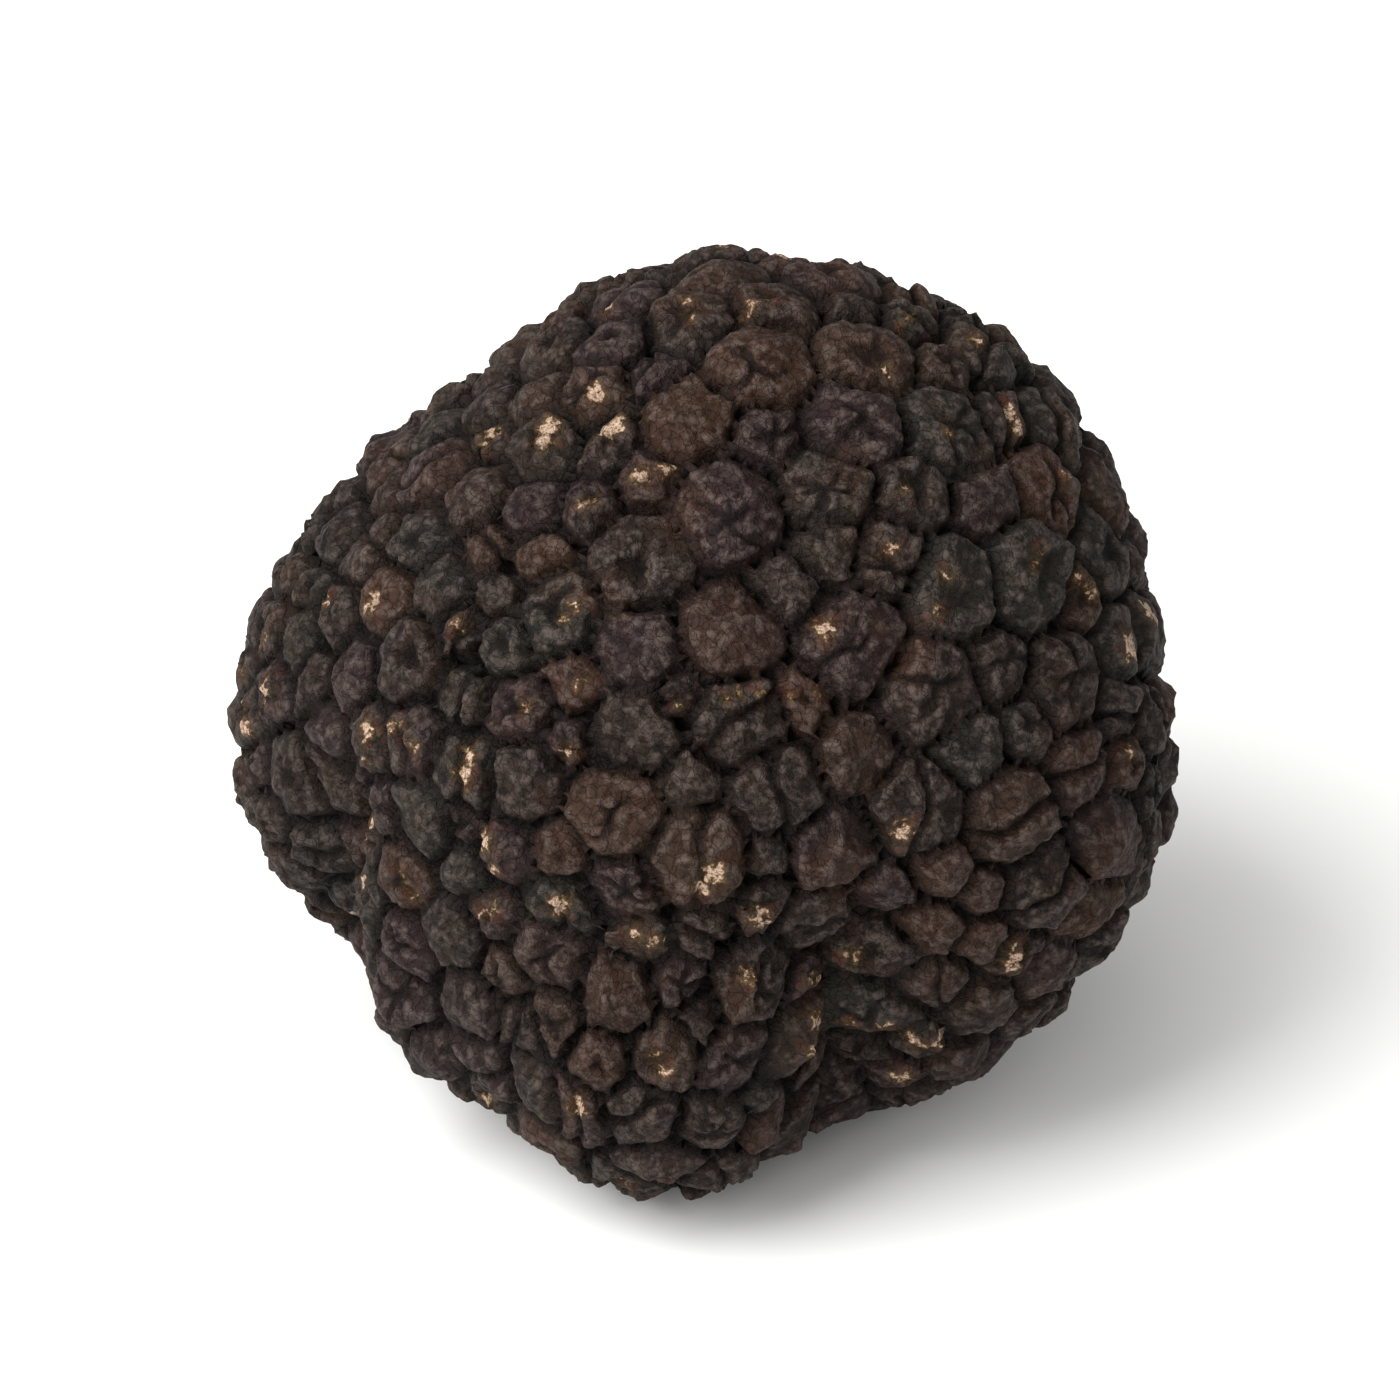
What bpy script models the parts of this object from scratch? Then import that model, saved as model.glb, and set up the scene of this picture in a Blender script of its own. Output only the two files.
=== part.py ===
"""Black truffle: one whole fruiting body, lying on the small flat spot of its underside.

A truffle grows as a lobed ball. Its black rind splits into a net of furrows as it swells, and each
field of the net stands up as a low pyramid, a wart. Here the ball is a blend of round lobes with a
few folds pressed into it, the net is the set of weighted Voronoi cells round the warts' centres,
and each cell is inset to leave half a furrow round it, then raised, tilted and given a tip.

Run it with: blender --background --python part.py
"""

import math

import bmesh
import bpy
import numpy as np
from mathutils import Vector, noise

MM = 0.001

# The body. Each lobe is a ball: its centre, from the core's centre, and its radius, in millimetres.
CORE_HEIGHT = 18.0 * MM
LOBES_MM = {
    "core": ((0.0, 0.0, 0.0), 18.8),
    "shoulder": ((6.4, 1.6, 5.8), 14.7),
    "crown": ((2.5, 2.1, 7.4), 14.5),
    "foot": ((-0.9, -11.0, -8.1), 9.3),
    "heel": ((-6.9, -5.9, -7.4), 8.9),
    "left_cheek": ((-7.8, 1.7, -1.0), 13.5),
    "right_cheek": ((8.2, -2.0, -0.1), 14.2),
    "right_hip": ((7.7, -4.3, -5.6), 11.2),
    "back": ((-4.4, 7.9, 0.1), 13.1),
    "back_hip": ((4.5, 8.0, -4.0), 11.6),
}
LOBE_BLEND = 0.55 * MM

# Folds between lobes: the two directions that each runs between, its depth and its half width.
FOLDS_MM = {
    "right_of_foot": ((0.40, -0.90, -0.10), (0.34, -0.76, -0.56), 2.6, 2.9),
    "left_of_foot": ((-0.90, -0.44, 0.02), (-0.84, -0.32, -0.45), 2.6, 2.3),
    "behind_crown": ((-0.35, 0.75, 0.55), (0.45, 0.60, 0.66), 1.5, 3.4),
    "between_backs": ((0.02, 0.95, -0.10), (0.10, 0.80, -0.58), 1.7, 3.2),
}
UNEVENNESS = 0.45 * MM
UNEVENNESS_SPAN = 8.0 * MM

# The warts.
SEED = 21
WARTS = 448
WART_SPAN = 3.7 * MM
SPAN_SPREAD = (0.72, 1.32)
# Regions of larger and smaller warts: the direction they centre on, the gain in span, and the half angle.
SPAN_REGIONS = {
    "coarse_front": ((0.38, -0.62, 0.68), 0.34, 42.0),
    "fine_foot": ((-0.35, -0.78, -0.52), -0.27, 40.0),
    "fine_left": ((-0.90, -0.38, 0.22), -0.14, 30.0),
    "fine_back": ((-0.20, 0.92, 0.35), -0.12, 40.0),
    "coarse_right": ((0.92, 0.30, -0.20), 0.16, 40.0),
}
SCATTER = 0.065
SETTLING_STEPS = 26
SHORTEST_FURROW = 0.42 * MM

FURROW_HALF_WIDTH = 0.37 * MM
NARROW_AND_WIDE = (0.60, 1.40)
MOST_PULL = 0.35  # no corner of a narrow wart is pulled in by more than this share of the way
FURROW_DEPTH = 0.20  # share of the wart's span
SHOULDER_RISE = 0.035
FLANK_RISE = 0.10
TIP_RISE = (0.02, 0.15)
TIP_SHIFT = 0.05
TILT = 0.10
FLANK_SHARE = 0.60  # the flank's ring is this share of the shoulder's
SPAN_WITH_FLANK_RING = 3.45 * MM

RIND_COLOUR = (0.032, 0.022, 0.019, 1.0)
RIND_ROUGHNESS = 0.72


def clear_scene():
    for obj in list(bpy.data.objects):
        bpy.data.objects.remove(obj, do_unlink=True)


def unit(vectors):
    return vectors / np.linalg.norm(vectors, axis=-1, keepdims=True)


def distance_to_arc(directions, start, end, radius):
    """How far each direction is from the chord between two others, on a ball of that radius."""
    points = directions * radius
    first, last = (unit(np.array(d)) * radius for d in (start, end))
    chord = last - first
    share = np.clip((points - first) @ chord / (chord @ chord), 0, 1)
    return np.linalg.norm(points - first - share[:, None] * chord, axis=1)


def body_radius(directions):
    """The smooth body's radius along each direction: a soft maximum of the lobes, less the folds."""
    reach = []
    for centre, radius in LOBES_MM.values():
        centre = np.array(centre) * MM
        along = directions @ centre
        half_chord = np.maximum(along**2 - centre @ centre + (radius * MM) ** 2, 0)
        reach.append(along + np.sqrt(half_chord))
    reach = np.array(reach)
    longest = reach.max(axis=0)
    blended = longest + LOBE_BLEND * np.log(np.exp((reach - longest) / LOBE_BLEND).sum(axis=0))
    core_radius = LOBES_MM["core"][1] * MM
    for start, end, depth, half_width in FOLDS_MM.values():
        away = distance_to_arc(directions, start, end, core_radius)
        blended -= depth * MM * np.exp(-((away / (half_width * MM)) ** 2))
    ripple = [noise.noise(Vector(d) * core_radius / UNEVENNESS_SPAN) for d in directions]
    return blended + UNEVENNESS * np.array(ripple)


def regional_span(directions):
    """The usual span of a wart in each direction."""
    gain = np.ones(len(directions))
    for centre, more, half_angle in SPAN_REGIONS.values():
        angle = np.degrees(np.arccos(np.clip(directions @ unit(np.array(centre)), -1, 1)))
        gain += more * np.exp(-((angle / half_angle) ** 2))
    return WART_SPAN * gain


def golden_spiral(count):
    """Directions spread evenly over a ball."""
    place = np.arange(count) + 0.5
    height = 1 - 2 * place / count
    turn = math.pi * (1 + math.sqrt(5)) * place
    level = np.sqrt(1 - height**2)
    return np.stack([level * np.cos(turn), level * np.sin(turn), height], axis=1)


def settle_warts(rng):
    """Directions and spans of the warts, after each has pushed its neighbours to its own distance."""
    own = rng.uniform(*SPAN_SPREAD, WARTS)
    directions = unit(golden_spiral(WARTS) + rng.normal(0, SCATTER, (WARTS, 3)))
    for _ in range(SETTLING_STEPS):
        points = directions * body_radius(directions)[:, None]
        spans = regional_span(directions) * own
        gaps = points[:, None] - points[None]
        apart = np.linalg.norm(gaps, axis=2) + np.eye(WARTS)
        wanted = (spans[:, None] + spans[None]) / 2
        push = np.clip(wanted - apart, 0, None) * (1 - np.eye(WARTS))
        points += 0.25 * (gaps / apart[..., None] * push[..., None]).sum(axis=1)
        directions = unit(points)
    return directions, spans


def net_of_cells(directions, spans):
    """A closed ball with one polygon for each wart. The hull of the centres, each raised by its own
    span, joins the neighbours, and each of its triangles faces the corner where three cells meet."""
    radii = body_radius(directions)
    hull = bmesh.new()
    for direction, span, radius in zip(directions, spans, radii):
        hull.verts.new(direction / math.cos(span / 2 / radius))
    bmesh.ops.convex_hull(hull, input=hull.verts)
    hull.normal_update()
    net = bmesh.new()
    corners = {triangle: net.verts.new(triangle.normal) for triangle in hull.faces}
    for centre in hull.verts:
        if not centre.link_faces:
            continue
        axis = centre.co.normalized()
        side = axis.orthogonal().normalized()
        across = axis.cross(side)
        round_centre = sorted(
            centre.link_faces,
            key=lambda t: math.atan2(t.normal.dot(across), t.normal.dot(side)),
        )
        net.faces.new([corners[triangle] for triangle in round_centre])
    hull.free()
    return net


def lay_on_body(net):
    """Moves the ball's corners out to the smooth body."""
    directions = unit(np.array([vert.co[:] for vert in net.verts]))
    for vert, direction, radius in zip(net.verts, directions, body_radius(directions)):
        vert.co = Vector(direction) * radius


def inset_ring(net, cells):
    """Gives each cell a new rim that lies on its old one, ready to be pulled in."""
    bmesh.ops.inset_individual(net, faces=cells, thickness=0.0, use_even_offset=False)


def raise_wart(net, cell, rng):
    """Gives one cell its half of the furrow, its shoulder, its flank's ring if it is large, and its tip."""
    span = 2 * math.sqrt(cell.calc_area() / math.pi)
    middle = cell.calc_center_median()
    cell.normal_update()
    outward = cell.normal.copy()
    lean = Vector(rng.normal(0, TILT, 3))
    for vert in cell.verts:
        inward = middle - vert.co
        pull = FURROW_HALF_WIDTH * rng.uniform(*NARROW_AND_WIDE)
        vert.co += inward.normalized() * min(pull, inward.length * MOST_PULL)
        rise = SHOULDER_RISE * span * rng.uniform(0.4, 1.6)
        vert.co += outward * (rise + lean.dot(vert.co - middle))
    tip_rise = rng.uniform(*TIP_RISE)
    if span > SPAN_WITH_FLANK_RING:
        inset_ring(net, [cell])
        for vert in cell.verts:
            vert.co = middle.lerp(vert.co, FLANK_SHARE * rng.uniform(0.85, 1.15))
            vert.co += outward * FLANK_RISE * span * rng.uniform(0.5, 1.3)
    else:
        tip_rise += FLANK_RISE
    poked = bmesh.ops.poke(net, faces=[cell], center_mode="MEAN_WEIGHTED")
    sideways = Vector(rng.normal(0, TIP_SHIFT, 3)) * span
    sideways -= outward * sideways.dot(outward)
    poked["verts"][0].co += outward * tip_rise * span + sideways


def cut_furrows(net, corners):
    """Sinks the net's own corners, which lie where furrows meet."""
    directions = unit(np.array([vert.co[:] for vert in corners]))
    for vert, span in zip(corners, regional_span(directions)):
        vert.co -= vert.co.normalized() * span * FURROW_DEPTH


def press_flat_spot(net):
    """Pulls in, towards the core, whatever would reach below the surface that the truffle lies on."""
    for vert in net.verts:
        if vert.co.z < -CORE_HEIGHT:
            vert.co *= -CORE_HEIGHT / vert.co.z
            vert.co.z = -CORE_HEIGHT


def stand_at_origin(net):
    """Puts the flat spot at z = 0 and the middle of the truffle's length and width over the origin."""
    points = np.array([vert.co[:] for vert in net.verts])
    middle = (points.min(axis=0) + points.max(axis=0)) / 2
    bmesh.ops.translate(net, verts=net.verts, vec=(-middle[0], -middle[1], CORE_HEIGHT))


def rind_material():
    material = bpy.data.materials.new("truffle rind")
    material.use_nodes = True
    shader = material.node_tree.nodes["Principled BSDF"]
    shader.inputs["Base Color"].default_value = RIND_COLOUR
    shader.inputs["Roughness"].default_value = RIND_ROUGHNESS
    shader.inputs["Metallic"].default_value = 0.0
    return material


def make_truffle():
    rng = np.random.default_rng(SEED)
    directions, spans = settle_warts(rng)
    net = net_of_cells(directions, spans)
    lay_on_body(net)
    bmesh.ops.remove_doubles(net, verts=net.verts, dist=SHORTEST_FURROW)
    corners = list(net.verts)
    cells = list(net.faces)
    inset_ring(net, cells)
    cut_furrows(net, corners)
    for cell in cells:
        raise_wart(net, cell, rng)
    press_flat_spot(net)
    stand_at_origin(net)
    bmesh.ops.recalc_face_normals(net, faces=net.faces)
    mesh = bpy.data.meshes.new("truffle")
    net.to_mesh(mesh)
    net.free()
    mesh.materials.append(rind_material())
    truffle = bpy.data.objects.new("truffle", mesh)
    bpy.context.scene.collection.objects.link(truffle)
    return truffle


clear_scene()
make_truffle()
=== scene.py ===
"""Black truffle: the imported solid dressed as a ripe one, with its cracked, furrowed, near-black rind."""

import math

import bmesh
import bpy
import numpy as np
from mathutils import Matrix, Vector, bvhtree, kdtree, noise


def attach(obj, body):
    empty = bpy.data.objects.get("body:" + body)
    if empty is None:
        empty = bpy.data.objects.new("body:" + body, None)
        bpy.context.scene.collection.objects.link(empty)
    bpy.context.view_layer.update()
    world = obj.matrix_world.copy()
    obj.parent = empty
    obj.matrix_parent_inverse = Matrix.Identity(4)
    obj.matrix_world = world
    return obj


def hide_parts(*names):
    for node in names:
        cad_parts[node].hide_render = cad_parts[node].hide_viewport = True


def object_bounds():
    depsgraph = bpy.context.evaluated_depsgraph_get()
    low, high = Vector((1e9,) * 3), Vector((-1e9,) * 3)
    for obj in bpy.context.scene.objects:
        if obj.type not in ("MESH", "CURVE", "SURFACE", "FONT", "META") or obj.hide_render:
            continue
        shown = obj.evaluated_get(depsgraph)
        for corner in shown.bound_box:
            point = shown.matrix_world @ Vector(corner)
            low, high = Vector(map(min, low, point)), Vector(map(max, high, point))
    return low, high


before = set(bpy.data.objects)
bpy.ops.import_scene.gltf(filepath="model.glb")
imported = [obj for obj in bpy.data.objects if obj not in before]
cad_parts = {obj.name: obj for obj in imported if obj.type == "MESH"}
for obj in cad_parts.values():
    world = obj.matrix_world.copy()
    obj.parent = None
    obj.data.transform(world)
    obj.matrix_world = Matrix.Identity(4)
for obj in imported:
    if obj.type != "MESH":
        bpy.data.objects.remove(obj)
cad_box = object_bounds()


# ---------------------------------------------------------------------------------------------------
# The table it lies on, the light and the camera: a white board that fills the view, a wide soft window
# at the upper left and a little in front, a weak panel overhead, a fill from low in front, and a pale
# room all round. The camera is a long lens that looks down.

MM = 0.001
BOARD_WHITE = "#F4F4F2"
BOARD_WIDTH = 6.0
ROOM_LIGHT = 0.55
VIEW_ELEVATION = 31.0
VIEW_DISTANCE = 0.75
VIEW_WIDTH = 66 * MM
SENSOR_WIDTH = 36.0  # in millimetres, as the lens is
LOOK_AT = Vector((0.0, 0.0, 19.0 * MM))


def linear(hex_colour):
    """An sRGB hex colour as the linear colour that a socket takes."""
    values = [int(hex_colour[i:i + 2], 16) / 255 for i in (1, 3, 5)]
    return tuple(v / 12.92 if v <= 0.04045 else ((v + 0.055) / 1.055) ** 2.4 for v in values) + (1.0,)


# Matt white paint, rolled on a flat board. It takes soft shadows and shows no reflection.
board_paint = bpy.data.materials.new("matt_white_board")
board_paint.use_nodes = True
board_shader = board_paint.node_tree.nodes["Principled BSDF"]
board_shader.inputs["Base Color"].default_value = linear(BOARD_WHITE)
board_shader.inputs["Roughness"].default_value = 0.85
board_shader.inputs["Specular IOR Level"].default_value = 0.2

bpy.ops.object.select_all(action="DESELECT")
bpy.ops.mesh.primitive_plane_add(size=BOARD_WIDTH, location=(0, 0, 0))
board = bpy.context.object
board.name = "white_board"
board.data.materials.append(board_paint)


def soft_light(name, azimuth, elevation, distance, size, power, colour):
    """A square soft light, aimed at the truffle. Azimuth 0 is the camera's side and 90 its right, in
    degrees. The distance and size are in metres and the power in watts."""
    turn, rise = math.radians(azimuth), math.radians(elevation)
    away = Vector((math.sin(turn) * math.cos(rise), -math.cos(turn) * math.cos(rise), math.sin(rise)))
    light = bpy.data.lights.new(name, "AREA")
    light.shape = "SQUARE"
    light.size = size
    light.energy = power
    light.color = linear(colour)[:3]
    lamp = bpy.data.objects.new(name, light)
    lamp.location = LOOK_AT + away * distance
    lamp.rotation_euler = away.to_track_quat("Z", "Y").to_euler()
    bpy.context.scene.collection.objects.link(lamp)


soft_light("window_upper_left", -60, 49, 0.9, 0.70, 10.6, "#FFFFFF")
soft_light("overhead_panel", -100, 74, 1.0, 0.80, 2.0, "#FFFDFA")
soft_light("front_fill", -24, 20, 1.2, 0.80, 6.4, "#FFFFFF")

world = bpy.data.worlds.new("pale_room")
bpy.context.scene.world = world
world.use_nodes = True
world.node_tree.nodes["Background"].inputs["Color"].default_value = linear("#FFFFFF")
world.node_tree.nodes["Background"].inputs["Strength"].default_value = ROOM_LIGHT
bpy.context.scene.view_settings.view_transform = "Standard"

camera_data = bpy.data.cameras.new("long_lens")
camera_data.sensor_width = SENSOR_WIDTH
camera_data.lens = SENSOR_WIDTH * VIEW_DISTANCE / VIEW_WIDTH
camera_data.clip_start = VIEW_DISTANCE / 15
camera = bpy.data.objects.new("long_lens", camera_data)
view_rise = math.radians(VIEW_ELEVATION)
towards_camera = Vector((0.0, -math.cos(view_rise), math.sin(view_rise)))
camera.location = LOOK_AT + towards_camera * VIEW_DISTANCE
camera.rotation_euler = towards_camera.to_track_quat("Z", "Y").to_euler()
bpy.context.scene.collection.objects.link(camera)
bpy.context.scene.camera = camera


# ---------------------------------------------------------------------------------------------------
# The rind: one skin of dead, blackened tissue, grown over the whole body, that splits into warts as it
# swells. The solid has the warts and the furrows between them. Here its facets are worn round, and each
# wart gets what ripening and drying do to it: ribs, a sunken or star-cracked tip, a split, crumbling.

FURROW_ANGLE = -0.30  # radians: a hollow edge sharper than this is the bottom of a furrow
FURROW_POINT_GAP = 0.08 * MM
WART_OVER_ITS_PLAN = 1.25  # a wart's area over the area of the round field that it stands on
SKIN_STEP = 0.31 * MM  # the spacing of the finished skin's points

bpy.ops.object.select_all(action="DESELECT")
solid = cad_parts["truffle"]
rind = solid.copy()
rind.data = solid.data.copy()
rind.name = "rind"
rind.data.name = "rind"
bpy.context.scene.collection.objects.link(rind)
rind.data.materials.clear()
rind.select_set(True)
bpy.context.view_layer.objects.active = rind
bpy.ops.mesh.customdata_custom_splitnormals_clear()
bpy.ops.object.mode_set(mode="EDIT")
bpy.ops.mesh.select_all(action="SELECT")
bpy.ops.mesh.remove_doubles(threshold=0.01 * MM)
bpy.ops.object.mode_set(mode="OBJECT")


def number_warts(facets):
    """The wart that each facet is on, and the furrows' edges. A wart is a patch bounded by furrows."""
    hollows = {edge.index for edge in facets.edges if edge.calc_face_angle_signed(0.0) < FURROW_ANGLE}
    wart_of = [-1] * len(facets.faces)
    warts = 0
    for seed in facets.faces:
        if wart_of[seed.index] >= 0:
            continue
        wart_of[seed.index] = warts
        front = [seed]
        while front:
            for edge in front.pop().edges:
                for other in edge.link_faces:
                    if edge.index not in hollows and wart_of[other.index] < 0:
                        wart_of[other.index] = warts
                        front.append(other)
        warts += 1
    furrows = [
        edge for edge in facets.edges
        if len({wart_of[face.index] for face in edge.link_faces}) == 2
    ]
    return np.array(wart_of), furrows


def wart_places(facets, wart_of):
    """Each wart's middle, the direction it points in, and its radius."""
    areas = np.array([face.calc_area() for face in facets.faces])
    middles = np.array([face.calc_center_median() for face in facets.faces]) * areas[:, None]
    normals = np.array([face.normal[:] for face in facets.faces]) * areas[:, None]
    area = np.bincount(wart_of, areas)
    middle = np.stack([np.bincount(wart_of, column) for column in middles.T], axis=1) / area[:, None]
    outward = np.stack([np.bincount(wart_of, column) for column in normals.T], axis=1)
    outward /= np.linalg.norm(outward, axis=1)[:, None]
    return middle, outward, np.sqrt(area / WART_OVER_ITS_PLAN / math.pi)


facets = bmesh.new()
facets.from_mesh(rind.data)
facets.faces.ensure_lookup_table()
wart_of_facet, furrows = number_warts(facets)
tips, outward, radii = wart_places(facets, wart_of_facet)
facet_tree = bvhtree.BVHTree.FromBMesh(facets)
counts = [2 + int(edge.calc_length() / FURROW_POINT_GAP) for edge in furrows]
furrow_points = kdtree.KDTree(sum(counts))
for edge, count in zip(furrows, counts):
    for share in np.linspace(0, 1, count):
        furrow_points.insert(edge.verts[0].co.lerp(edge.verts[1].co, share), 0)
furrow_points.balance()
facets.free()

# The skin is drawn again as an even net, fine enough for cracks.
rind.data.remesh_voxel_size = SKIN_STEP
rind.data.use_remesh_preserve_volume = True
bpy.ops.object.voxel_remesh()
bpy.ops.object.mode_set(mode="EDIT")
bpy.ops.mesh.select_all(action="SELECT")
bpy.ops.mesh.quads_convert_to_tris(quad_method="SHORTEST_DIAGONAL", ngon_method="BEAUTY")
bpy.ops.object.mode_set(mode="OBJECT")


def read_skin(collection, name, kind, width):
    """One value of each point, edge or face, or a row of them, as an array."""
    values = np.empty(len(collection) * width, kind)
    collection.foreach_get(name, values)
    return values.reshape(-1, width) if width > 1 else values


def step(low, high, values):
    """A smooth rise from 0 at the low value to 1 at the high one."""
    share = np.clip((values - low) / (high - low), 0, 1)
    return share * share * (3 - 2 * share)


def valley(distance, half_width):
    """1 at no distance, and just over a third at the half width."""
    return np.exp(-((distance / half_width) ** 2))


def at_points(function, places):
    """A noise at each of many places."""
    return np.array([function(Vector(place)) for place in places])


points = read_skin(rind.data.vertices, "co", float, 3)
middles = read_skin(rind.data.polygons, "center", float, 3)
corners = read_skin(rind.data.polygons, "vertices", int, 3)
face_warts = wart_of_facet[[facet_tree.find_nearest(Vector(middle))[2] for middle in middles]]
point_warts = np.zeros(len(points), int)
point_warts[corners.ravel()] = np.repeat(face_warts, 3)
from_furrow = np.array([furrow_points.find(Vector(point))[2] for point in points])

# All that is done to the skin fades out just above the board, so that the flat spot stays flat.
FADE_HEIGHT = 0.9 * MM
WEIGHT_STEPS = 50
off_board = step(0.0, FADE_HEIGHT, points[:, 2])


def keep_group(name, weights):
    """Keeps a weight with each point, for a modifier to read."""
    group = rind.vertex_groups.new(name=name)
    levels = np.rint(weights * WEIGHT_STEPS).astype(int)
    for level in range(1, WEIGHT_STEPS + 1):
        group.add(np.flatnonzero(levels == level).tolist(), level / WEIGHT_STEPS, "REPLACE")


def finish_modifier(name, kind, **settings):
    """Adds a modifier and applies it."""
    modifier = rind.modifiers.new(name, kind)
    for key, value in settings.items():
        setattr(modifier, key, value)
    bpy.ops.object.modifier_apply(modifier=name)


# Wear rounds the facets, but hardly the furrows' bottoms, and not the flat spot.
LEAST_WORN = 0.15
keep_group("worn", (LEAST_WORN + (1 - LEAST_WORN) * step(0.10 * MM, 0.50 * MM, from_furrow)) * off_board)
keep_group("off_board", off_board)
finish_modifier("rounding", "SMOOTH", factor=0.6, iterations=2, vertex_group="worn")

# Each wart's own two directions, across its axis, and its tip, a little off its middle.
SLANTED = (0.31, 0.17, 0.93)  # no wart points exactly this way
TIP_OFF_MIDDLE = 0.10
SEED = 12
sideways = np.cross(outward, SLANTED)
sideways /= np.linalg.norm(sideways, axis=1)[:, None]
along = np.cross(outward, sideways)
rng = np.random.default_rng(SEED)
for direction in (sideways, along):
    tips = tips + rng.normal(0, TIP_OFF_MIDDLE, (len(tips), 1)) * radii[:, None] * direction


def place_on_wart(points, warts):
    """Each point's place on its wart, along the wart's two directions, in metres from the tip."""
    local = points - tips[warts]
    return (local * sideways[warts]).sum(axis=1), (local * along[warts]).sum(axis=1)


points = read_skin(rind.data.vertices, "co", float, 3)
across, up_wart = place_on_wart(points, point_warts)
reach = np.hypot(across, up_wart)
share = reach / radii[point_warts]
bearing = np.arctan2(up_wart, across)

# How far each point is on its wart's side: 0 at the tip and in the furrow.
on_side = step(0.10, 0.45, share) * step(0.15 * MM, 0.6 * MM, from_furrow)

# What has happened to each wart.
PLAIN, STARRED, SUNKEN, SPLIT = range(4)
KIND_SHARES = (0.34, 0.24, 0.26, 0.16)
LEAST_SPLIT_RADIUS = 1.35 * MM
kind = rng.choice(4, len(tips), p=KIND_SHARES)
kind[(radii < LEAST_SPLIT_RADIUS) & (kind == SPLIT)] = PLAIN

# Each wart's own wear, tints and turns. The more worn it is, the deeper its marks are.
wear = rng.uniform(0, 1, len(tips))
tone = rng.uniform(0, 1, len(tips))
hue = rng.uniform(0, 1, len(tips))
wobble = rng.uniform(0, 2 * math.pi, (len(tips), 4))
# How dark the finish makes each point: painted shade in the star cracks, pits, splits and crumb cracks.
relief = np.zeros(len(points))
crack = np.zeros(len(points))

# Stars: three to six cracks that run out from the tip and close before the furrow. Their arms stand
# unevenly, wriggle, and are from about half to nearly the whole of the wart's radius long.
LEAST_ARMS = 3
MOST_ARMS = 6
ARM_UNEVENNESS = 0.5  # radians
ARM_WRIGGLE = 0.35  # radians
ARM_WRIGGLE_SPAN = 0.55 * MM
ARM_LENGTH = 0.45
ARM_LENGTH_SPREAD = 0.40
STAR_HALF_WIDTH = 0.20 * MM
STAR_DEPTH = 0.34 * MM
arms = rng.integers(LEAST_ARMS, MOST_ARMS + 1, len(tips))
star = np.zeros(len(points))
for arm in range(MOST_ARMS):
    on = (kind[point_warts] == STARRED) & (arm < arms[point_warts])
    warts = point_warts[on]
    heading = wobble[warts, 0] + arm * 2 * math.pi / arms[warts]
    heading += ARM_UNEVENNESS * np.sin(3.1 * arm + wobble[warts, 1])
    heading += ARM_WRIGGLE * np.sin(reach[on] / ARM_WRIGGLE_SPAN + wobble[warts, 2] + arm)
    apart = np.abs(np.sin((bearing[on] - heading) / 2)) * 2 * reach[on]
    length = ARM_LENGTH + ARM_LENGTH_SPREAD * np.abs(np.sin(7.7 * arm + wobble[warts, 3]))
    fade = (1 - step(0.55 * length, length, share[on])) * (np.cos(bearing[on] - heading) > 0)
    star[on] = np.maximum(star[on], fade * valley(apart, STAR_HALF_WIDTH * (1.15 - 0.6 * share[on])))
relief -= STAR_DEPTH * star * (0.6 + 0.6 * wear[point_warts])
crack = np.maximum(crack, star)

# Sunken tips: a shallow ragged pit with a raised lip. Its radius is a quarter to two fifths of the wart's.
PIT_RADIUS = 0.26
PIT_RADIUS_SPREAD = 0.16
PIT_DEPTH = 0.52 * MM
PIT_SHADE = 0.75
LIP_HEIGHT = 0.10 * MM
LIP_PLACE = 1.3  # in radii of the pit
LIP_HALF_WIDTH = 0.35
on = kind[point_warts] == SUNKEN
warts = point_warts[on]
ragged = 1 + 0.24 * np.sin(3 * bearing[on] + wobble[warts, 0])
ragged += 0.16 * np.sin(5 * bearing[on] + wobble[warts, 1])
pit_share = share[on] / (PIT_RADIUS + PIT_RADIUS_SPREAD * tone[warts]) / ragged
pit = 1 - step(0.30, 1.15, pit_share)
relief[on] += LIP_HEIGHT * valley(pit_share - LIP_PLACE, LIP_HALF_WIDTH)
relief[on] -= PIT_DEPTH * pit * (0.5 + 0.6 * wear[warts])
# The pit's floor gets painted shade.
crack[on] = np.maximum(crack[on], PIT_SHADE * pit)

# Splits: a second, shallower furrow that crosses a large wart.
SPLIT_HALF_WIDTH = 0.24 * MM
SPLIT_DEPTH = 0.50 * MM
SPLIT_WAVE = 0.22 * MM
SPLIT_WAVE_SPAN = 0.62 * MM
on = kind[point_warts] == SPLIT
warts = point_warts[on]
turn = wobble[warts, 0]
beside = across[on] * np.cos(turn) + up_wart[on] * np.sin(turn)
lengthways = up_wart[on] * np.cos(turn) - across[on] * np.sin(turn)
beside += SPLIT_WAVE * np.sin(lengthways / SPLIT_WAVE_SPAN + wobble[warts, 1])
relief[on] -= SPLIT_DEPTH * valley(beside, SPLIT_HALF_WIDTH)
crack[on] = np.maximum(crack[on], valley(beside, SPLIT_HALF_WIDTH))

# Ribs run down the sides of every wart from its tip: a noise of the direction, drawn out along the
# radius, and different on each wart.
RIB_HEIGHT = 0.11 * MM
RIBS_ROUND = 1.9
RIBS_OUTWARD = 0.8
OWN_RIBS = 31.0  # moves each wart to its own part of the noise
around = np.stack([np.cos(bearing) * RIBS_ROUND, np.sin(bearing) * RIBS_ROUND, share * RIBS_OUTWARD], axis=1)
around += (tone * OWN_RIBS)[point_warts][:, None]
ribs = 1 - 2.4 * np.abs(at_points(noise.noise, around))
relief += RIB_HEIGHT * (ribs - 0.5) * on_side

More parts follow.
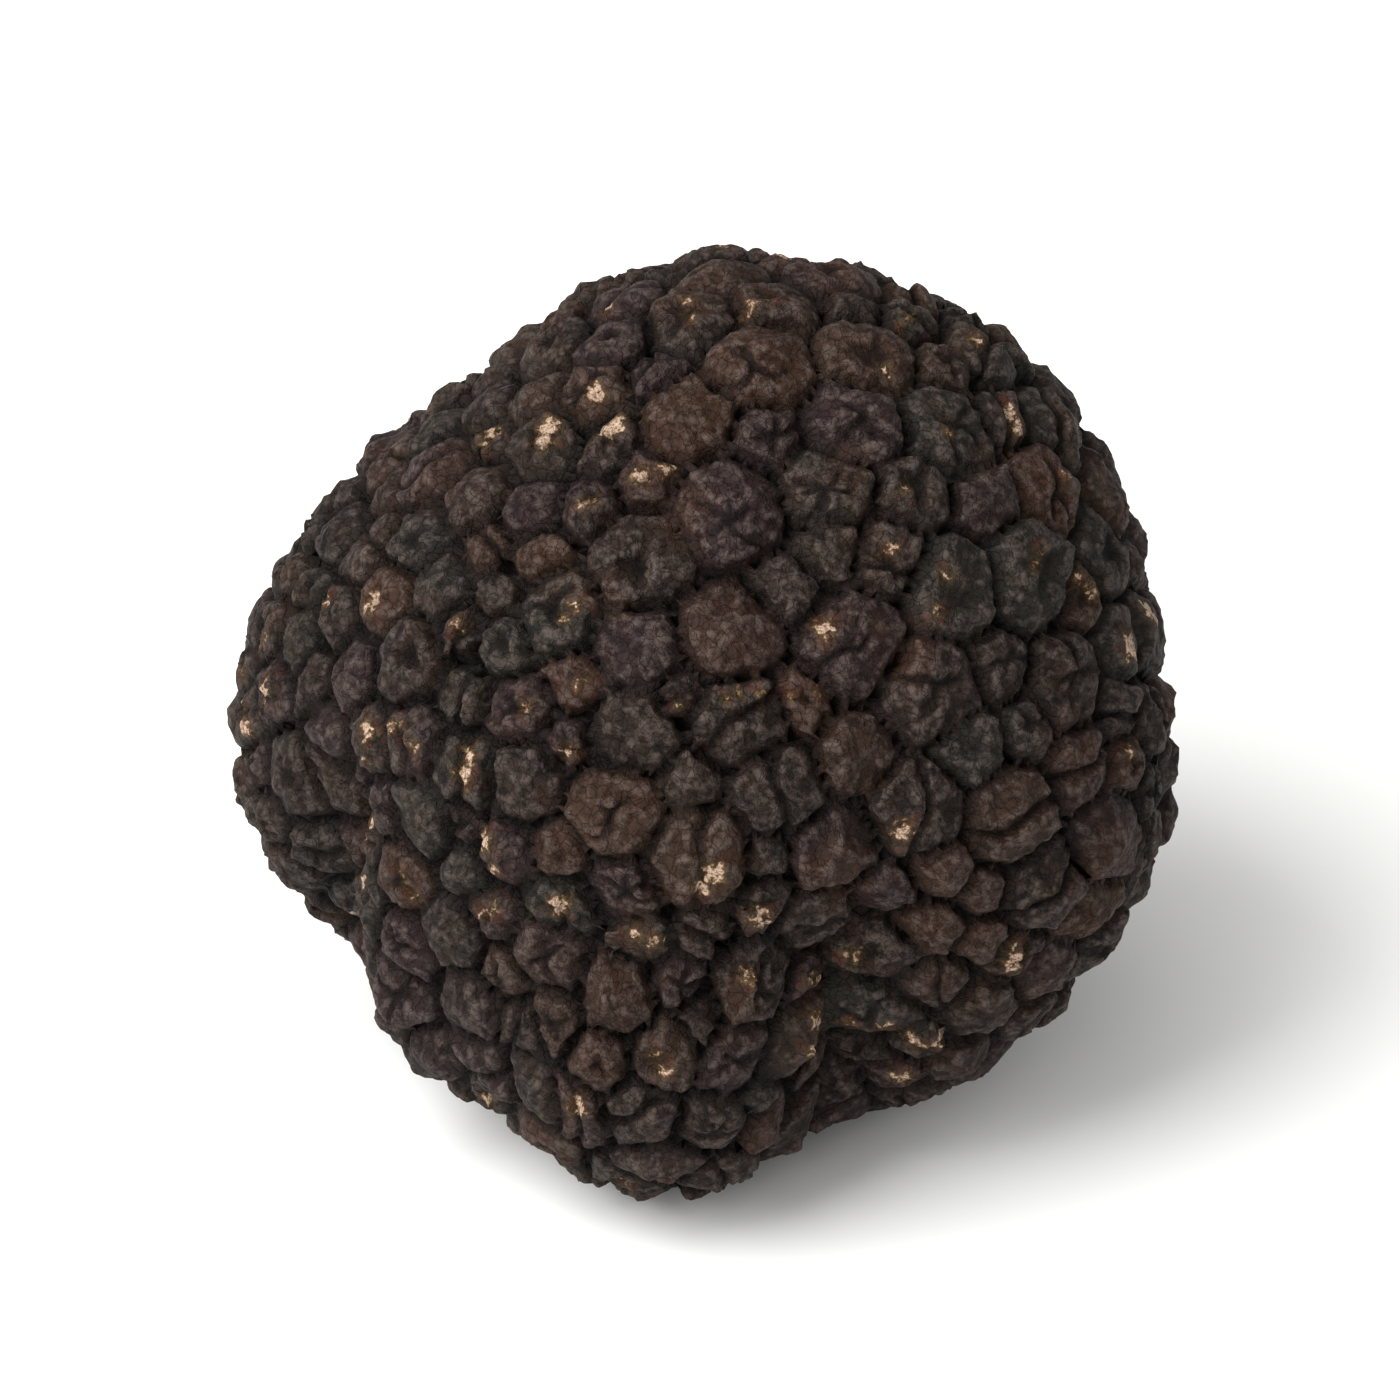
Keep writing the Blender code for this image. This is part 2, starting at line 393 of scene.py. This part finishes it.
# Crumbling: fine cracks that part the surface into grains of about a millimetre, more in some places.
# The noise that bends them is shifted by random amounts, which the seed makes the same in each run.
CRUMB_SPAN = 1.15 * MM
CRUMB_CRACK_HALF_WIDTH = 0.19 * MM
CRUMB_CRACK_DEPTH = 0.12 * MM
CRUMB_CRACK_SHADE = 0.45
CRUMB_BEND = 0.35 * MM
CRUMB_BEND_SPAN = 0.9 * MM
CRUMBLED_PATCH = 3.4 * MM
noise.seed_set(SEED)
bent = points + CRUMB_BEND * at_points(noise.noise_vector, points / CRUMB_BEND_SPAN)


def gap_between_crumbs(place):
    """How much nearer one crumb's centre is than the next: 0 in the crack between them."""
    nearest, next_nearest = noise.voronoi(place)[0][:2]
    return next_nearest - nearest


crumb_cracks = valley(at_points(gap_between_crumbs, bent / CRUMB_SPAN) * CRUMB_SPAN, CRUMB_CRACK_HALF_WIDTH)
crumbled = step(-0.35, 0.35, at_points(noise.noise, points / CRUMBLED_PATCH))
crumbled *= 0.5 + 0.5 * wear[point_warts]
crumb_cracks *= crumbled * step(0.15 * MM, 0.5 * MM, from_furrow)
relief -= CRUMB_CRACK_DEPTH * crumb_cracks
# The crumb cracks get painted shade as well.
crack = np.maximum(crack, CRUMB_CRACK_SHADE * crumb_cracks)

# The furrows between warts, deeper in some places than in others.
FURROW_CUT = 0.60 * MM
FURROW_HALF_WIDTH = 0.26 * MM
DEEPER_PATCH = 4.0 * MM
unevenly = 0.6 + 0.6 * step(-0.3, 0.4, at_points(noise.noise, points / DEEPER_PATCH))
relief -= FURROW_CUT * unevenly * valley(from_furrow, FURROW_HALF_WIDTH)

normals = read_skin(rind.data.vertex_normals, "vector", float, 3)
points += normals * (relief * off_board)[:, None]
rind.data.vertices.foreach_set("co", points.ravel())
rind.data.update()

# Growth is never even: the whole skin wanders sideways, and swells in lumps and grains. Each row is
# the amount, the span of its features, the direction that it moves points in, and its kind of noise.
for name, amount, span, direction, kind_of_cloud in (
    ("wide_wander", 0.26 * MM, 2.3 * MM, "RGB_TO_XYZ", "COLOR"),
    ("small_wander", 0.11 * MM, 0.9 * MM, "RGB_TO_XYZ", "COLOR"),
    ("lumps", 0.10 * MM, 1.0 * MM, "NORMAL", "GRAYSCALE"),
    ("grains", 0.11 * MM, 0.52 * MM, "NORMAL", "GRAYSCALE"),
):
    cloud = bpy.data.textures.new(name, "CLOUDS")
    cloud.noise_scale = span
    cloud.noise_depth = 1
    cloud.cloud_type = kind_of_cloud
    finish_modifier(
        name, "DISPLACE", texture=cloud, strength=amount, direction=direction, mid_level=0.5,
        texture_coords="LOCAL", vertex_group="off_board",
    )

# It lies flat on the board, and stays within the solid's size.
LIES_FLAT = 0.05 * MM
points = read_skin(rind.data.vertices, "co", float, 3)
points[points[:, 2] < LIES_FLAT, 2] = 0.0
points = np.clip(points, np.array(cad_box[0]), np.array(cad_box[1]))
rind.data.vertices.foreach_set("co", points.ravel())
rind.data.update()
bpy.ops.object.shade_smooth()

# How far each point stands proud of those round it, for the finish, which lightens the crests with a painted
# highlight: 0 in a hollow and 1 on a crest.
CREST_HEIGHT = 0.045 * MM
pairs = read_skin(rind.data.edges, "vertices", int, 2)
neighbours = np.bincount(pairs.ravel(), minlength=len(points))


def spread(values):
    """The mean of each point's neighbours, in each of its columns."""
    totals = [
        np.bincount(pairs[:, 0], column[pairs[:, 1]], len(points))
        + np.bincount(pairs[:, 1], column[pairs[:, 0]], len(points))
        for column in values.reshape(len(points), -1).T
    ]
    return (np.array(totals) / neighbours).T.reshape(values.shape)


normals = read_skin(rind.data.vertex_normals, "vector", float, 3)
proud = ((points - spread(points)) * normals).sum(axis=1)
for _ in range(2):
    proud = (proud + spread(proud)) / 2
crest = np.clip(0.5 + proud / CREST_HEIGHT, 0, 1)

# Flecks of pale flesh, their cream cores lightened as a painted glint, at or beside the tips of the warts
# that have cracked or rubbed through: up to three on a wart, and more of such warts in some patches than in
# others.
FLECKED_SHARE = (0.10, 0.40, 0.42, 0.24)  # of the plain, starred, sunken and split warts
FLECKED_PATCH = 9.0 * MM
FLECKS = 3
FLECK_RADIUS = (0.05 * MM, 0.46 * MM)
FLECK_FROM_TIP = (0.10, 0.48)  # as a share of the wart's radius
FLECK_TURN = 0.9  # radians, the spread of a wart's flecks round its tip
NOWHERE = 90.0  # in millimetres, off every wart
rubbed = 0.35 + 1.3 * step(-0.25, 0.25, at_points(noise.noise, tips / FLECKED_PATCH))
flecked = rng.uniform(0, 1, len(tips)) < np.array(FLECKED_SHARE)[kind] * rubbed
fleck_count = np.where(flecked, rng.integers(1, FLECKS + 1, len(tips)), 0)
fleck_away = rng.uniform(*FLECK_FROM_TIP, (FLECKS, len(tips))) * radii / MM
fleck_turn = rng.uniform(0, 2 * math.pi, len(tips)) + rng.normal(0, FLECK_TURN, (FLECKS, len(tips)))


def keep_values(name, values, domain, kind="FLOAT"):
    """Keeps values with the skin's points or faces, for the finish to read."""
    layer = rind.data.attributes.new(name, kind, domain)
    layer.data.foreach_set("vector" if kind == "FLOAT_VECTOR" else "value", np.asarray(values, float).ravel())


for number in range(FLECKS):
    places = np.stack([
        fleck_away[number] * np.cos(fleck_turn[number]),
        fleck_away[number] * np.sin(fleck_turn[number]),
        np.zeros(len(tips)),
    ], axis=1)
    places[fleck_count <= number] = NOWHERE
    keep_values(f"fleck_{number}", places[face_warts], "FACE", "FLOAT_VECTOR")
# The furrow values give the furrows' own black, deepened with painted shade. The flank values are painted
# shade on the warts' sides near the furrows. The crack values are painted shade in the cracks.
DARK_FURROW = 0.54 * MM
FLANK_SHADE_WIDTH = 1.05 * MM
keep_values("furrow", valley(from_furrow, DARK_FURROW), "POINT")
keep_values("flank", valley(from_furrow, FLANK_SHADE_WIDTH), "POINT")
keep_values("crack", crack, "POINT")
keep_values("crest", crest, "POINT")
keep_values("fleck_size", rng.uniform(*FLECK_RADIUS, len(tips))[face_warts] / MM, "FACE")
keep_values("tone", tone[face_warts], "FACE")
keep_values("hue", hue[face_warts], "FACE")

# A map over each wart, in millimetres from its tip.
corner_across, corner_up = place_on_wart(points[corners.ravel()], np.repeat(face_warts, 3))
while rind.data.uv_layers:
    rind.data.uv_layers.remove(rind.data.uv_layers[0])
wart_map = rind.data.uv_layers.new(name="wart_map")
wart_map.data.foreach_set("uv", np.stack([corner_across, corner_up], axis=1).ravel() / MM)
rind.vertex_groups.clear()

# The finish. The rind is dead, tannin-black fungal tissue, matt and crumbly where whole. Where a tip has
# cracked or rubbed through, resin-brown flesh shows, with pale flecks whose cream cores are pale flesh and a
# painted glint, and which are smoother, as if damp. The furrows are dull black, deepened with painted shade.
# The flanks, cracks and low spots are darkened with painted shade, and the crests get a painted highlight.
# Patterns are in millimetres, as object coordinates times a thousand.

BLACK_BROWN = "#0D0805"
GREY_BROWN = "#291E18"
GREEN_BLACK = "#1D1D18"
PLUM_BROWN = "#28191B"
RUST_BROWN = "#3A2418"
STREAK_BROWN = "#382C26"
CREST_HIGHLIGHT_BROWN = "#746660"
FURROW_BLACK = "#070302"
AMBER = "#40301A"
RAW_RED = "#421E15"
GOLD = "#6B5239"
# The cream is pale flesh and a painted glint at once: the fleck cores are made lighter than the flesh alone.
CREAM = "#B49A86"


def add_node(material, name, kind, settings=None, values=None, links=None):
    """Adds a node under a name. A link is the name of the node that it comes from, then, after a
    colon, the output's name or number, where that isn't the first."""
    tree = material.node_tree
    node = tree.nodes.new(kind)
    node.name = name
    for key, value in (settings or {}).items():
        setattr(node, key, value)
    for socket, value in (values or {}).items():
        node.inputs[socket].default_value = value
    for socket, source in (links or {}).items():
        source_name, _, output = source.partition(":")
        output = int(output) if output.isdigit() else output or 0
        tree.links.new(tree.nodes[source_name].outputs[output], node.inputs[socket])


skin = bpy.data.materials.new("truffle_rind")
skin.use_nodes = True
shader = skin.node_tree.nodes["Principled BSDF"]
shader.name = "rind_shader"

add_node(skin, "place", "ShaderNodeTexCoord")
add_node(skin, "in_mm", "ShaderNodeVectorMath", {"operation": "SCALE"}, {"Scale": 1 / MM},
         {0: "place:Object"})
for name in ("furrow", "flank", "crack", "crest", "tone", "hue", "fleck_size"):
    add_node(skin, name, "ShaderNodeAttribute", {"attribute_name": name})

# Patterns that run through the rind: the span of their features in millimetres, detail and roughness.
# Each has its own W, so that no two have features in the same places.
for name, span, detail, roughness in (
    ("clouds", 4.6, 3.0, 0.55),
    ("mottle", 0.85, 4.0, 0.60),
    ("knobs", 0.48, 3.0, 0.60),
    ("fine", 0.16, 4.0, 0.70),
    ("ragged", 0.40, 2.0, 0.60),
):
    add_node(
        skin, name, "ShaderNodeTexNoise", {"noise_dimensions": "4D"},
        {"Scale": 1 / span, "Detail": detail, "Roughness": roughness, "W": 10 * span}, {"Vector": "in_mm"},
    )

# Crumbs of about half a millimetre, parted by hair cracks, their places bent by the ragged noise.
CRUMB = 0.55
BENDING = 0.5
add_node(skin, "bent", "ShaderNodeVectorMath", {"operation": "MULTIPLY_ADD"}, {1: (BENDING,) * 3},
         {0: "ragged:Color", 2: "in_mm"})
add_node(skin, "crumb_edge", "ShaderNodeTexVoronoi", {"feature": "DISTANCE_TO_EDGE"}, {"Scale": 1 / CRUMB},
         {"Vector": "bent"})
add_node(skin, "crumb_dome", "ShaderNodeTexVoronoi", {"feature": "SMOOTH_F1"},
         {"Scale": 1 / CRUMB, "Smoothness": 0.6}, {"Vector": "bent"})

# Fibres that run down each wart: the direction from its tip, stretched along the radius.
FIBRES_ROUND = 6.0
FIBRES_OUTWARD = 0.9
OWN_FIBRES = 40.0  # moves each wart to its own part of the noise
add_node(skin, "on_wart", "ShaderNodeUVMap", {"uv_map": "wart_map"})
add_node(skin, "heading", "ShaderNodeVectorMath", {"operation": "NORMALIZE"}, links={0: "on_wart"})
add_node(skin, "from_tip", "ShaderNodeVectorMath", {"operation": "LENGTH"}, links={0: "on_wart"})
add_node(skin, "stretch", "ShaderNodeMath", {"operation": "MULTIPLY"}, {1: FIBRES_OUTWARD},
         {0: "from_tip:Value"})
add_node(skin, "lift", "ShaderNodeCombineXYZ", links={"Z": "stretch"})
add_node(skin, "fibre_place", "ShaderNodeVectorMath", {"operation": "MULTIPLY_ADD"},
         {1: (FIBRES_ROUND,) * 3}, {0: "heading", 2: "lift"})
add_node(skin, "wart_seed", "ShaderNodeMath", {"operation": "MULTIPLY"}, {1: OWN_FIBRES}, {0: "hue:Fac"})
add_node(skin, "fibres", "ShaderNodeTexNoise", {"noise_dimensions": "4D"},
         {"Scale": 1.0, "Detail": 3.0, "Roughness": 0.6}, {"Vector": "fibre_place", "W": "wart_seed"})

# The flecks: how far outside the nearest of the three this place is, in millimetres. They shrink in
# turn, and their edges are frayed by the ragged noise.
FLECK_SIZES = (1.0, 0.75, 0.55)
FRAYING = 1.5
add_node(skin, "frayed", "ShaderNodeVectorMath", {"operation": "SUBTRACT"}, {1: (0.5, 0.5, 0.5)},
         {0: "ragged:Color"})
add_node(skin, "frayed_place", "ShaderNodeVectorMath", {"operation": "MULTIPLY_ADD"},
         {1: (FRAYING, FRAYING, 0.0)}, {0: "frayed", 2: "on_wart"})
nearest = None
for number, size in enumerate(FLECK_SIZES):
    add_node(skin, f"fleck_{number}", "ShaderNodeAttribute", {"attribute_name": f"fleck_{number}"})
    add_node(skin, f"to_fleck_{number}", "ShaderNodeVectorMath", {"operation": "DISTANCE"},
             links={0: "frayed_place", 1: f"fleck_{number}:Vector"})
    add_node(skin, f"past_fleck_{number}", "ShaderNodeMath", {"operation": "MULTIPLY_ADD"}, {1: -size},
             {0: "fleck_size:Fac", 2: f"to_fleck_{number}:Value"})
    if nearest is None:
        nearest = f"past_fleck_{number}"
        continue
    add_node(skin, f"nearest_{number}", "ShaderNodeMath", {"operation": "MINIMUM"},
             links={0: nearest, 1: f"past_fleck_{number}"})
    nearest = f"nearest_{number}"

# Shares from 0 to 1, each a smooth rise of a value between two others.
for name, source, low, high in (
    ("greyer", "mottle", 0.38, 0.62),
    ("greener", "tone:Fac", 0.60, 0.85),
    ("plummer", "tone:Fac", 0.36, 0.12),
    ("rustier", "hue:Fac", 0.70, 1.0),
    ("rusty_cloud", "clouds", 0.50, 0.68),
    ("streaked", "fibres", 0.44, 0.70),
    ("proud", "crest:Fac", 0.48, 0.92),
    ("knobbed", "knobs", 0.38, 0.72),
    ("sunk", "knobs", 0.48, 0.32),
    ("hair_crack", "crumb_edge", 0.07, 0.0),
    ("cracked", "crack:Fac", 0.25, 0.90),
    ("cream_core", nearest, 0.02, -0.10),
    ("gold_ring", nearest, 0.14, -0.04),
    ("amber_halo", nearest, 0.55, 0.0),
    ("raw_place", nearest, 0.95, 0.30),
    ("raw_patch", "mottle", 0.50, 0.62),
    ("grainy", "fine", 0.34, 0.56),
    ("inland", "flank:Fac", 0.94, 0.74),
):
    add_node(skin, name, "ShaderNodeMapRange", {"interpolation_type": "SMOOTHSTEP"},
             {"From Min": low, "From Max": high}, {"Value": source})

# Sums and products of them. A word is a node, a number is itself.
for name, operation, first, second in (
    ("green_share", "MULTIPLY", "greener", 0.68),
    ("plum_share", "MULTIPLY", "plummer", 0.60),
    ("rust_share", "MULTIPLY", "rustier", 0.75),
    ("cloud_share", "MULTIPLY", "rusty_cloud", 0.55),
    ("streak_share", "MULTIPLY", "streaked", 0.32),
    # Painted highlight: crests that stand proud on raised knobs are made lighter.
    ("bloom", "MULTIPLY", "proud", "knobbed"),
    ("bloom_share", "MULTIPLY", "bloom", 0.38),
    # Painted shade in the hollows between the raised knobs.
    ("sunk_share", "MULTIPLY", "sunk", 0.55),
    # Painted shade in the hair cracks between crumbs.
    ("hair_share", "MULTIPLY", "hair_crack", 0.35),
    # Painted shade: the warts' sides are darkened towards the furrows.
    ("flank_share", "MULTIPLY", "flank:Fac", 0.62),
    ("mottle_middle", "SUBTRACT", "mottle", 0.5),
    ("mottle_pull", "MULTIPLY", "mottle_middle", 0.9),
    ("ragged_furrow", "ADD", "furrow:Fac", "mottle_pull"),
    # Painted shade in the cracks and pits.
    ("crack_share", "MULTIPLY", "cracked", 0.80),
    ("amber_share", "MULTIPLY", "amber_halo", 0.60),
    ("gold_here", "MULTIPLY", "gold_ring", "inland"),
    ("cream_here", "MULTIPLY", "cream_core", "inland"),
    ("raw_mix", "MULTIPLY", "raw_place", "raw_patch"),
    ("raw_share", "MULTIPLY", "raw_mix", 0.55),
    ("gold_share", "MULTIPLY", "gold_here", 0.75),
    # Pale flesh with a painted glint, at the fleck cores.
    ("cream_share", "MULTIPLY", "cream_here", "grainy"),
):
    operands = dict(enumerate((first, second)))
    add_node(
        skin, name, "ShaderNodeMath", {"operation": operation},
        {socket: value for socket, value in operands.items() if not isinstance(value, str)},
        {socket: value for socket, value in operands.items() if isinstance(value, str)},
    )
# The furrows' own black, deepened with painted shade, and the painted shade in cracks and pits.
add_node(skin, "furrow_share", "ShaderNodeMapRange", {"interpolation_type": "SMOOTHSTEP"},
         {"From Min": 0.10, "From Max": 0.95}, {"Value": "ragged_furrow"})
add_node(skin, "dark_share", "ShaderNodeMath", {"operation": "MAXIMUM"},
         links={0: "furrow_share", 1: "crack_share"})

# The colours, laid one over the other. The crest layer is a painted highlight. The hollow, flank, hair crack
# and furrow layers are painted shade, the last over the furrows' own black. The cream cores are pale flesh
# and a painted glint.
add_node(skin, "ground", "ShaderNodeMix", {"data_type": "RGBA"},
         {6: linear(BLACK_BROWN), 7: linear(GREY_BROWN)}, {0: "greyer"})
under = "ground"
for share_name, colour in (
    ("green_share", GREEN_BLACK),
    ("plum_share", PLUM_BROWN),
    ("rust_share", RUST_BROWN),
    ("cloud_share", RUST_BROWN),
    ("streak_share", STREAK_BROWN),
    ("bloom_share", CREST_HIGHLIGHT_BROWN),
    ("sunk_share", BLACK_BROWN),
    ("flank_share", BLACK_BROWN),
    ("hair_share", FURROW_BLACK),
    ("raw_share", RAW_RED),
    ("dark_share", FURROW_BLACK),
    ("amber_share", AMBER),
    ("gold_share", GOLD),
    ("cream_share", CREAM),
):
    add_node(skin, f"{share_name}_coat", "ShaderNodeMix", {"data_type": "RGBA"}, {7: linear(colour)},
             {0: share_name, 6: f"{under}:2"})
    under = f"{share_name}_coat"
skin.node_tree.links.new(skin.node_tree.nodes[under].outputs[2], shader.inputs["Base Color"])

# Dry rind is rough, and its pores swallow most of the sheen. The flecks are smoother, as if damp.
add_node(skin, "dry", "ShaderNodeMapRange", {}, {"To Min": 0.52, "To Max": 0.80}, {"Value": "mottle"})
add_node(skin, "damp", "ShaderNodeMapRange", {}, {"To Min": 0.0, "To Max": 0.24}, {"Value": "gold_share"})
add_node(skin, "roughness", "ShaderNodeMath", {"operation": "SUBTRACT"}, links={0: "dry", 1: "damp"})
skin.node_tree.links.new(skin.node_tree.nodes["roughness"].outputs[0], shader.inputs["Roughness"])
shader.inputs["IOR"].default_value = 1.45
shader.inputs["Specular IOR Level"].default_value = 0.15

# Its relief too fine for the skin's own points: fibres, crumbs and the cracks between them, and grain.
under = None
for name, source, depth in (
    ("fibre_relief", "fibres", 0.15 * MM),
    ("knob_relief", "knobs", 0.14 * MM),
    ("crumb_relief", "hair_crack", -0.04 * MM),
    ("dome_relief", "crumb_dome", -0.10 * MM),
    ("fine_relief", "fine", 0.03 * MM),
):
    links = {"Height": source} if under is None else {"Height": source, "Normal": under}
    add_node(skin, name, "ShaderNodeBump", {"invert": depth < 0}, {"Distance": abs(depth)}, links)
    under = name
skin.node_tree.links.new(skin.node_tree.nodes[under].outputs[0], shader.inputs["Normal"])
rind.data.materials.append(skin)

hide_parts("truffle")
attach(rind, "root")
